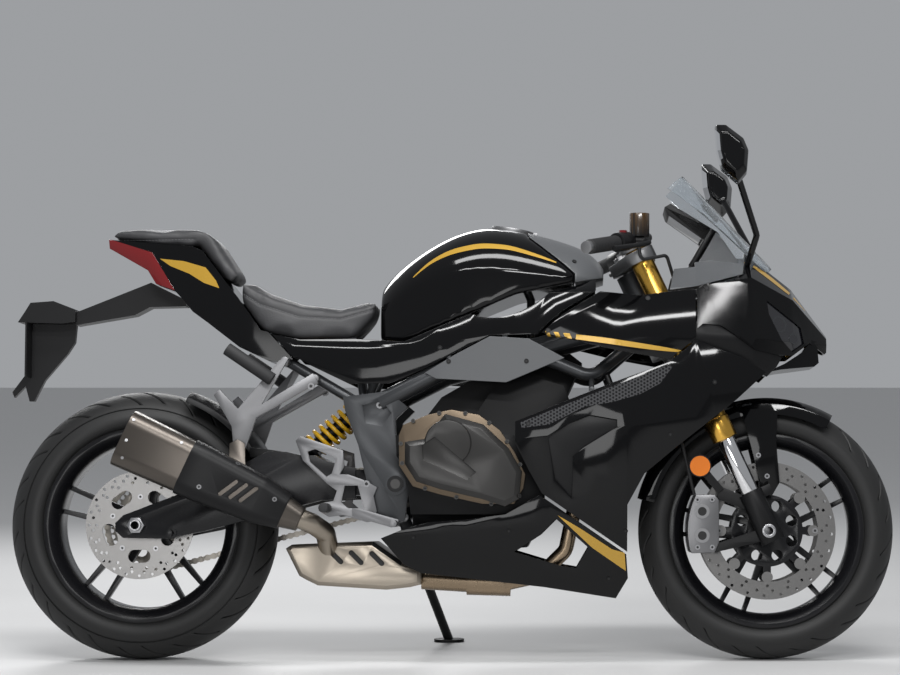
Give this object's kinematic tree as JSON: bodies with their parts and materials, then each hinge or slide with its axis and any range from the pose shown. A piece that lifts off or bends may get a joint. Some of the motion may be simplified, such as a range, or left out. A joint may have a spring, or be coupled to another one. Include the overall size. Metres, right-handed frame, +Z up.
{
  "type": "sport motorcycle",
  "caption": "Fully faired two-wheel sport motorcycle on its side stand, with turning wheels, steering, folding stand and hinged fuel cap.",
  "frame": {"origin": "on the floor under the middle of the bike's bounding box", "axes": "+X forward along the bike, +Y to its left, +Z up; the bike leans to its left on the side stand"},
  "size_m": [2.0779, 0.8126, 1.2372],
  "materials": {
    "gloss_black": "gloss paint",
    "grey_plastic": "satin",
    "black_plastic": "satin",
    "frame_grey": "satin",
    "black_metal": "satin",
    "engine_metal": "satin",
    "tyre": "matte",
    "disc_steel": "brushed",
    "steel": "satin",
    "silver": "satin",
    "gold": "anodised",
    "spring_gold": "gloss",
    "chrome": "polished",
    "rubber": "matte",
    "exhaust_metal": "brushed bronze",
    "seat_cover": "textured",
    "clear": "clear",
    "lamp_clear": "clear",
    "lamp_red": "gloss"
  },
  "bodies": {
    "chassis": {"belly_pans": "gloss_black", "cockpit_deck": "grey_plastic", "drive_chain": "steel", "engine": "engine_metal", "engine_covers": "engine_metal", "exhaust_chamber": "exhaust_metal", "exhaust_headers": "exhaust_metal", "fairing_stay": "black_metal", "foot_brackets": "silver", "foot_levers": "silver", "foot_pegs": "rubber", "frame": "frame_grey", "fuel_filler": "silver", "fuel_tank": "gloss_black", "headlights": "lamp_clear", "instrument_panel": "black_plastic", "mirrors": "gloss_black", "nose_cowl": "gloss_black", "pillion_seat": "seat_cover", "plate_hanger": "black_plastic", "radiator": "black_metal", "rear_axle": "steel", "rear_caliper": "silver", "rear_hugger": "black_plastic", "rider_seat": "seat_cover", "shock_absorber": "black_metal", "shock_spring": "spring_gold", "side_covers": "grey_plastic", "side_fairings": "gloss_black", "silencer": "exhaust_metal", "silencer_shield": "black_plastic", "swingarm": "frame_grey", "tail_cowl": "gloss_black", "tail_light": "lamp_red", "tank_cover": "grey_plastic", "upper_panels": "gloss_black", "vent_inserts": "black_plastic", "windscreen": "clear"},
    "steering": {"fork_tubes": "gold", "fork_sliders": "chrome", "fork_bottoms": "black_metal", "yokes": "silver", "handlebars": "silver", "grips": "rubber", "hand_controls": "black_metal", "front_calipers": "silver", "front_mudguard": "gloss_black", "front_axle": "steel", "brake_hoses": "rubber"},
    "front_wheel": {"front_tyre": "tyre", "front_rim": "black_metal", "front_discs": "disc_steel"},
    "rear_wheel": {"rear_tyre": "tyre", "rear_rim": "black_metal", "rear_disc": "disc_steel", "rear_sprocket": "steel"},
    "side_stand": {"side_stand": "black_metal"},
    "fuel_cap": {"fuel_cap": "silver"}
  },
  "joints": [
    {"name": "steering_turn", "type": "hinge", "parent": "chassis", "child": "steering", "pos_m": [0.71, -0.06744, 0.2859], "axis": [-0.4226, 0.0711, 0.9035], "range_deg": [-27, 27]},
    {"name": "front_wheel_spin", "type": "hinge", "parent": "steering", "child": "front_wheel", "pos_m": [0.739, -0.06638, 0.29938], "axis": [0, 0.9969, -0.0785], "continuous": true},
    {"name": "rear_wheel_spin", "type": "hinge", "parent": "chassis", "child": "rear_wheel", "pos_m": [-0.721, -0.06536, 0.31234], "axis": [0, 0.9969, -0.0785], "continuous": true},
    {"name": "side_stand_fold", "type": "hinge", "parent": "chassis", "child": "side_stand", "pos_m": [-0.099, 0.05471, 0.24471], "axis": [0, 0.8616, 0.5075], "range_deg": [0, 99]},
    {"name": "fuel_cap_lift", "type": "hinge", "parent": "chassis", "child": "fuel_cap", "pos_m": [0.19709, -0.01152, 0.9964], "axis": [0, 0.9969, -0.0785], "range_deg": [0, 100]}
  ]
}
